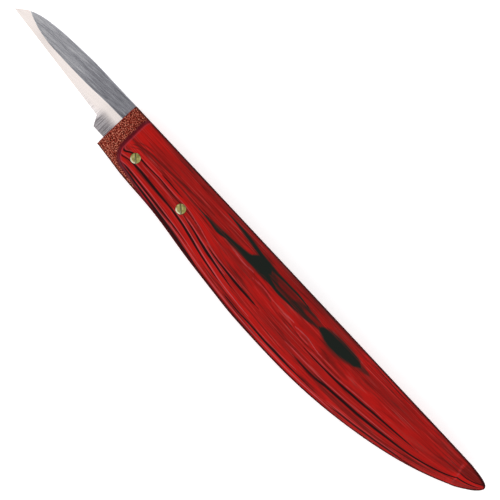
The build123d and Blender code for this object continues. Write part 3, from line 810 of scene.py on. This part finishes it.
def paint(obj, side):
    """Store the figure of the wood on a scale, with the painted shade at its edges and on the relief's
    wall, and the painted highlight at the crease.
    """
    along, down, height = measured(obj)
    x, y = along, down
    if side < 0:
        x, y = along - RIGHT_AHEAD, down * RIGHT_STRETCH + RIGHT_LOWER
    back, belly, _, _ = section(along)
    belly_rim = along_curve(BELLY_RIM, along)
    # A painted highlight: a pale line along the crease, mixed into the pink layer.
    crease = np.interp(down, [p[0] for p in CREASE_HIGHLIGHT_LINE], [p[1] for p in CREASE_HIGHLIGHT_LINE])
    crease = np.exp(-(((along - crease) / CREASE_HIGHLIGHT_WIDTH) ** 2)) * smooth(down, 1, 2)
    back_rim = BACK_RIM * (1 + 0.5 * smooth(-along, *BACK_RIM_GROWS))
    # Painted shade: darker towards the back and belly edges, where the sides fall away steeply.
    rim = np.maximum(
        1 - smooth(down - back, *[v * back_rim for v in BACK_FADE]),
        1 - smooth(belly - down, *[v * belly_rim for v in BELLY_FADE]),
    )
    past = relief_distance(along, down)
    upright = smooth(along, *UPRIGHT)
    width = 0.5 + 0.5 * upright
    layers = {
        "black": strokes(BLACK, x, y, core=0.4, fade=1.85),
        "dark": strokes(DARK, x, y),
        "brown": strokes(BROWN, x, y),
        "bright": strokes(BRIGHT, x, y),
        "pink": np.maximum(strokes(PINK, x, y), crease * CREASE_HIGHLIGHT_STRENGTH),
        "rim": rim,
        "steep": 1 - smooth(np.minimum(down - back, belly - down), *STEEP_BAND),
        "flow": flow(x, y),
        "height": height * side,
        "relief": relief_share(along, down),
        "band": window(past, [v * width for v in WALL_SHADE_RISE], [v * width for v in WALL_SHADE_FALL]),
        "edging": window(past, EDGING_RISE, EDGING_FALL) * upright,
        "stipple": stipple(along, down),
    }
    # The front face is left as it was sawn, and shows the veneers on edge; most of the painted edge shade
    # is laid over it too.
    front = along > -EDGE_BREAK / 2
    for name, value in (("rim", 0.8), ("relief", 0.0), ("band", 0.0), ("edging", 0.0)):
        layers[name] = np.where(front, value, layers[name])
    store(obj, **layers)


# ---- Materials ----


def linear(red, green, blue):
    """A colour given as screen values from 0 to 255."""
    shares = [v / 255 for v in (red, green, blue)]
    return (*[v / 12.92 if v <= 0.04 else ((v + 0.055) / 1.055) ** 2.4 for v in shares], 1.0)


def set_stops(node, stops):
    """Give a colour ramp its stops, each (position, number or colour)."""
    elements = node.color_ramp.elements
    while len(elements) < len(stops):
        elements.new(0.5)
    for element, (position, colour) in zip(elements, stops):
        element.position = position
        element.color = colour if isinstance(colour, tuple) else (colour, colour, colour, 1)


class Nodes:
    """Short calls for building one material's node tree."""

    def __init__(self, name):
        self.material = bpy.data.materials.new(name)
        self.material.use_nodes = True
        self.tree = self.material.node_tree
        self.shader = self.tree.nodes["Principled BSDF"]
        coordinates = self.tree.nodes.new("ShaderNodeTexCoord")
        self.object = coordinates.outputs["Object"]

    def wire(self, value, socket):
        """Link a socket's value, or set a constant on the socket itself."""
        if isinstance(value, bpy.types.NodeSocket):
            self.tree.links.new(value, socket)
        else:
            socket.default_value = value

    def node(self, kind, *values):
        """A new node, with its first inputs given."""
        node = self.tree.nodes.new(f"ShaderNode{kind}")
        for socket, value in zip(node.inputs, values):
            self.wire(value, socket)
        return node

    def read(self, name):
        """A value stored on the piece's points."""
        node = self.node("Attribute")
        node.attribute_name = name
        return node.outputs["Fac"]

    def math(self, operation, a, b=0.0, c=0.0, clamp=False):
        node = self.node("Math", a, b, c)
        node.operation = operation
        node.use_clamp = clamp
        return node.outputs[0]

    def times(self, a, b, plus=None, clamp=False):
        """a times b, and something added to it."""
        if plus is None:
            return self.math("MULTIPLY", a, b, clamp=clamp)
        return self.math("MULTIPLY_ADD", a, b, plus, clamp)

    def separate(self, vector):
        return self.node("SeparateXYZ", vector).outputs

    def scaled(self, vector, scale):
        node = self.node("Mapping", vector)
        node.inputs["Scale"].default_value = scale
        return node.outputs[0]

    def noise(self, vector, scale=1.0, detail=2.0, roughness=0.5, distortion=0.0):
        node = self.node("TexNoise", vector)
        settings = {"Scale": scale, "Detail": detail, "Roughness": roughness, "Distortion": distortion}
        for name, value in settings.items():
            node.inputs[name].default_value = value
        return node.outputs["Fac"]

    def drawn_out(self, along, across, rates, detail, roughness=0.5, distortion=0.0, seed=0.0):
        """Noise that changes at one rate along the knife and at another across it."""
        point = self.node("CombineXYZ", self.times(along, rates[0]), self.times(across, rates[1]), seed)
        return self.noise(point.outputs[0], 1.0, detail, roughness, distortion)

    def ramp(self, value, stops):
        node = self.node("ValToRGB", value)
        set_stops(node, sorted(stops))
        return node.outputs["Color"]

    def mix(self, factor, a, b):
        node = self.node("Mix")
        node.data_type = "RGBA"
        self.wire(factor, node.inputs["Factor"])
        self.wire(a, node.inputs["A"])
        self.wire(b, node.inputs["B"])
        return node.outputs["Result"]

    def bump(self, height, strength, distance):
        node = self.node("Bump", strength, distance)
        self.wire(height, node.inputs["Height"])
        return node.outputs["Normal"]

    def finish(self, **sockets):
        """The material, with the shader's sockets set: an underscore stands for a space."""
        for name, value in sockets.items():
            self.wire(value, self.shader.inputs[name.replace("_", " ")])
        return self.material


# Edges of the veneers on the handle's steep sides: heights in millimetres.
SIDE_LAYERS = (1.7, 2.9, 4.1, 5.3)
SIDE_LAYER_WIDTH = 0.16


def dyed_wood():
    """Thin dyed veneers in resin, cut at a slope, under a satin varnish."""
    n = Nodes("laminated_wood")
    along = n.times(n.separate(n.object)["X"], 1000.0)
    grain = n.read("flow")
    broad = n.drawn_out(along, grain, (0.03, 0.5), 2, seed=3)
    streaks = n.drawn_out(along, grain, (0.06, 1.25), 4, 0.6, 0.3)
    fibre = n.drawn_out(along, grain, (0.09, 2.6), 3, 0.65, seed=7)
    tone = n.times(fibre, 0.5, n.times(streaks, 0.4))
    tone = n.times(broad, 0.3, tone)
    red = n.ramp(tone, [
        (0.45, linear(76, 20, 19)), (0.52, linear(126, 23, 20)), (0.58, linear(161, 24, 21)),
        (0.66, linear(188, 27, 23)), (0.78, linear(198, 47, 41)),
    ])
    hairs = n.drawn_out(along, grain, (0.07, 3.4), 2, seed=11)
    red = n.mix(n.ramp(hairs, [(0.58, 0.0), (0.7, 0.48)]), red, linear(196, 84, 80))
    red = n.mix(n.ramp(hairs, [(0.3, 0.7), (0.42, 0.0)]), red, linear(70, 16, 16))

    ragged = n.math("SUBTRACT", fibre, 0.5)
    swing = n.math("SUBTRACT", streaks, 0.5)
    bright = n.times(n.read("bright"), n.times(fibre, 1.0, 0.05), clamp=True)
    colour = n.mix(bright, red, linear(188, 22, 18))
    mottle = n.times(swing, 1.8, n.times(ragged, 1.0, 0.88))
    brown = n.times(n.read("brown"), mottle, clamp=True)
    colour = n.mix(brown, colour, linear(74, 23, 21))
    pink = n.times(n.read("pink"), n.times(fibre, 1.2, 0.35), clamp=True)
    colour = n.mix(pink, colour, linear(188, 80, 84))
    dark = n.times(ragged, 0.9, n.read("dark"))
    dark = n.ramp(dark, [(0.08, 0.0), (0.4, 0.6), (0.75, 0.98)])
    colour = n.mix(dark, colour, linear(27, 12, 14))
    uneven = n.times(swing, 0.7, n.times(ragged, 1.3))
    black = n.math("ADD", n.read("black"), uneven)
    black = n.ramp(black, [(0.05, 0.0), (0.35, 0.45), (0.8, 1.0)])
    colour = n.mix(black, colour, linear(28, 33, 29))

    # Round the edges, where the sides fall away steeply, painted shade darkens the wood, with a darker
    # line where two veneers meet end on.
    rim = n.read("rim")
    level = n.read("height")
    edge_line = None
    for height in SIDE_LAYERS:
        off = n.math("ABSOLUTE", n.math("SUBTRACT", level, height))
        line = n.math("SUBTRACT", 1.0, n.math("DIVIDE", off, SIDE_LAYER_WIDTH), clamp=True)
        edge_line = line if edge_line is None else n.math("MAXIMUM", edge_line, line)
    painted_edge_shade = n.mix(n.times(ragged, 0.8, 0.4), linear(26, 5, 6), linear(72, 11, 12))
    painted_edge_shade = n.mix(n.times(edge_line, 0.8), painted_edge_shade, linear(16, 6, 8))
    colour = n.mix(n.times(rim, 0.95), colour, painted_edge_shade)

    # The struck relief, and the wall that leads down to it, darkened with a painted shade.
    relief = n.read("relief")
    # The specks follow the stipple's height, partly painted shade in the dents and painted highlight on
    # the peaks, with a random grain over it.
    grains = n.noise(n.scaled(n.object, (3300, 3300, 3300)), 1.0, 2.0, 0.6)
    specks = n.ramp(n.times(n.read("stipple"), 0.3, grains), [
        (0.32, linear(20, 5, 3)), (0.43, linear(92, 23, 14)), (0.56, linear(144, 44, 31)),
        (0.71, linear(222, 140, 114)),
    ])
    # The painted edge shade darkens the relief as well.
    specks = n.mix(n.times(rim, 0.75), specks, linear(40, 10, 6))
    colour = n.mix(n.ramp(relief, [(0.5, 0.0), (0.9, 1.0)]), colour, specks)
    colour = n.mix(n.times(n.read("edging"), 0.7), colour, linear(152, 50, 62))
    # Painted shade: a plum band down the relief's steep wall.
    painted_wall_shade = n.times(n.read("band"), n.times(fibre, 0.6, 0.6), clamp=True)
    colour = n.mix(painted_wall_shade, colour, linear(92, 22, 33))

    roughness = n.times(relief, 0.3, n.times(fibre, 0.12, 0.3))
    roughness = n.math("MAXIMUM", roughness, n.times(n.read("steep"), 0.95))
    normal = n.bump(n.times(streaks, 0.6, fibre), 0.12, 0.00004)
    return n.finish(
        Base_Color=colour, Roughness=roughness, Normal=normal, Specular_IOR_Level=0.03,
    )


def filler_wood():
    """The dark veneers between the scales, seen on edge."""
    n = Nodes("filler_wood")
    streaks = n.noise(n.scaled(n.object, (40, 900, 1600)), 1.0, 3.0, 0.6)
    colour = n.ramp(streaks, [
        (0.3, linear(28, 8, 10)), (0.5, linear(58, 12, 14)), (0.7, linear(92, 17, 19)),
    ])
    roughness = n.times(streaks, 0.15, 0.7)
    return n.finish(
        Base_Color=colour, Roughness=roughness, Normal=n.bump(streaks, 0.15, 0.00005),
        Specular_IOR_Level=0.03,
    )


def ground_steel():
    """Blade steel: lengthwise grinding marks, and marks across the thinned heel."""
    n = Nodes("ground_steel")
    x, y, _ = n.separate(n.object)
    along = n.times(n.math("SUBTRACT", x, FRONT), 1000.0)
    down = n.times(n.math("SUBTRACT", y, BACK), 1000.0)
    # The marks on the flats run a little uphill towards the handle.
    lane = n.times(along, -0.1, down)
    broad = n.drawn_out(along, lane, (0.07, 1.2), 3, 0.65, 0.5)
    fine = n.drawn_out(along, lane, (0.35, 4.5), 3, 0.65)
    crosswise = n.drawn_out(along, down, (3.2, 0.12), 3, 0.7)
    low = n.ramp(n.math("DIVIDE", down, 10.0), [(0.72, 0.0), (1.0, 1.0)])
    behind = n.ramp(n.math("DIVIDE", along, 10.0), [(0.55, 1.0), (0.8, 0.0)])
    heel = n.times(low, behind)
    # The same marks run a little way forward, close to the cutting edge.
    from_edge = n.times(along, 0.0095, n.math("DIVIDE", down, 10.0))
    close = n.ramp(from_edge, [(0.92, 0.0), (1.03, 0.6)])
    forward = n.ramp(n.math("DIVIDE", along, 20.0), [(0.3, 1.0), (0.9, 0.0)])
    heel = n.math("MAXIMUM", heel, n.times(close, forward))
    bevel = n.read("bevel")
    marks = n.mix(heel, n.mix(0.4, broad, fine), crosswise)
    # It is polished a little brighter towards the tip.
    worn = n.times(along, 0.0052, marks)
    colour = n.ramp(worn, [
        (0.38, (0.28, 0.28, 0.3, 1)), (0.48, (0.5, 0.5, 0.54, 1)), (0.6, (0.72, 0.72, 0.76, 1)),
        (0.74, (0.98, 0.98, 1.0, 1)),
    ])
    pale = n.mix(marks, (0.77, 0.68, 0.64, 1), (0.94, 0.87, 0.84, 1))
    colour = n.mix(bevel, colour, pale)
    heel_colour = n.ramp(crosswise, [(0.36, (0.5, 0.45, 0.46, 1)), (0.64, (0.98, 0.92, 0.93, 1))])
    colour = n.mix(heel, colour, heel_colour)
    roughness = n.times(marks, 0.16, 0.12)
    return n.finish(
        Base_Color=colour, Roughness=roughness, Metallic=1.0,
        Normal=n.bump(marks, 0.2, 0.00002),
    )


def worn_brass_and_highlight():
    """Old brass, blotched and scratched, with a highlight painted bright on the lower side of each head.
    """
    n = Nodes("worn_brass_and_highlight")
    blotches = n.noise(n.object, 900.0, 3.0, 0.6)
    scratches = n.noise(n.scaled(n.object, (2500, 500, 800)), 1.0, 2.0, 0.6)
    colour = n.ramp(blotches, [
        (0.3, linear(122, 118, 62)), (0.5, linear(152, 145, 86)), (0.7, linear(188, 178, 124)),
    ])
    # A painted highlight: a near-white crescent on the lower side of each head.
    rubbed = n.times(n.read("rubbed"), n.times(blotches, 1.2, 0.3), clamp=True)
    colour = n.mix(rubbed, colour, linear(250, 240, 205))
    roughness = n.times(scratches, 0.16, 0.14)
    return n.finish(
        Base_Color=colour, Roughness=roughness, Metallic=1.0,
        Normal=n.bump(scratches, 0.2, 0.00002),
    )


wood, filler, steel, brass = dyed_wood(), filler_wood(), ground_steel(), worn_brass_and_highlight()

# ---- The pieces ----

for name, side in (("left", 1), ("right", -1)):
    scale = new_piece(f"handle_scale_{name}", scale_mesh(side), wood)
    for along, down in SCREWS.values():
        cut(scale, hole_mesh(along, down, side))
    soften(scale, angle=40)
    paint(scale, side)
    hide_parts(f"scale_{name}")

for kind, side in (("screw", 1), ("nut", -1)):
    for name, (along, down) in SCREWS.items():
        head = new_piece(f"{kind}_head_{name}", head_mesh(along, down, side), brass)
        cut(head, slot_mesh(along, down, side))
        soften(head, angle=35)
        rub(head, along, down, side)
        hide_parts(f"{kind}_{name}")

blade = new_piece("ground_blade", blade_mesh(), steel)
soften(blade, angle=4)
along, down, _ = measured(blade)
# The bevels and the heel below the border, but not the points on the border itself.
store(blade, bevel=down > spline(BLADE_SHOULDER, along) + 0.01)
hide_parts("blade")

new_piece("heel_bedding", bedding_mesh(), filler)

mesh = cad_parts["core_spacer"].data
mesh.materials.clear()
mesh.materials.append(filler)

# ---- Stage, light and camera ----

# A light table: lit a little from below, so that the knife hardly casts a shadow.
FLOOR_GLOW = 0.49
FLOOR_REACH = 3.0
n = Nodes("floor")
tone = n.ramp(n.noise(n.object, 3.0), [(0.3, 0.86), (0.7, 0.88)])
mesh = bpy.data.meshes.new("floor")
corners = [(x * FLOOR_REACH, y * FLOOR_REACH, 0) for x, y in ((-1, -1), (1, -1), (1, 1), (-1, 1))]
mesh.from_pydata(corners, [], [(0, 1, 2, 3)])
mesh.materials.append(n.finish(
    Base_Color=tone, Roughness=0.9, Emission_Color=(1, 1, 1, 1), Emission_Strength=FLOOR_GLOW,
))
floor = link("floor", mesh)

# The room, from 0 at the horizon to 1 straight up: grey walls, a white ceiling, and a
# dark patch overhead for the blade's flat to mirror.
ROOM = [
    (0.0, (0.42, 0.42, 0.44, 1)), (0.5, (0.72, 0.72, 0.73, 1)), (0.75, 1.0), (0.966, 1.0),
    (0.99, (0.22, 0.22, 0.232, 1)),
]
ROOM_STRENGTH = 1.06
world = bpy.data.worlds.new("studio")
bpy.context.scene.world = world
world.use_nodes = True
sky = world.node_tree
coordinates = sky.nodes.new("ShaderNodeTexCoord")
split = sky.nodes.new("ShaderNodeSeparateXYZ")
ramp = sky.nodes.new("ShaderNodeValToRGB")
set_stops(ramp, ROOM)
sky.links.new(coordinates.outputs["Generated"], split.inputs[0])
sky.links.new(split.outputs["Z"], ramp.inputs[0])
sky.links.new(ramp.outputs["Color"], sky.nodes["Background"].inputs["Color"])
sky.nodes["Background"].inputs["Strength"].default_value = ROOM_STRENGTH


def area_light(name, direction, distance, size, power):
    """A soft square light aimed at the knife, which the steel doesn't mirror."""
    data = bpy.data.lights.new(name, "AREA")
    data.shape = "SQUARE"
    data.size = size
    data.energy = power
    light = link(name, data)
    direction = Vector(direction).normalized()
    light.location = Vector((0, 0, MIDDLE)) + direction * distance
    light.rotation_euler = direction.to_track_quat("Z", "Y").to_euler()
    light.visible_glossy = False


area_light("edge_side_light", direction=(-0.4, 1.0, 0.9), distance=0.8, size=0.5, power=1.1)

# The camera looks straight down, turned so that the knife lies corner to corner.
CAMERA_TURN = math.radians(226.9)
CAMERA_HEIGHT = 1.0
VIEW_CENTRE = (-51.65, 4.37)
VIEW_WIDTH = 141.75 * MM
camera_data = bpy.data.cameras.new("camera")
camera = link("camera", camera_data)
camera.location = place(*VIEW_CENTRE, 0) + Vector((0, 0, CAMERA_HEIGHT))
camera.rotation_euler = (0, 0, CAMERA_TURN)
camera_data.sensor_width = 36
camera_data.lens = camera_data.sensor_width * CAMERA_HEIGHT / VIEW_WIDTH
bpy.context.scene.camera = camera
bpy.context.scene.view_settings.view_transform = "Standard"
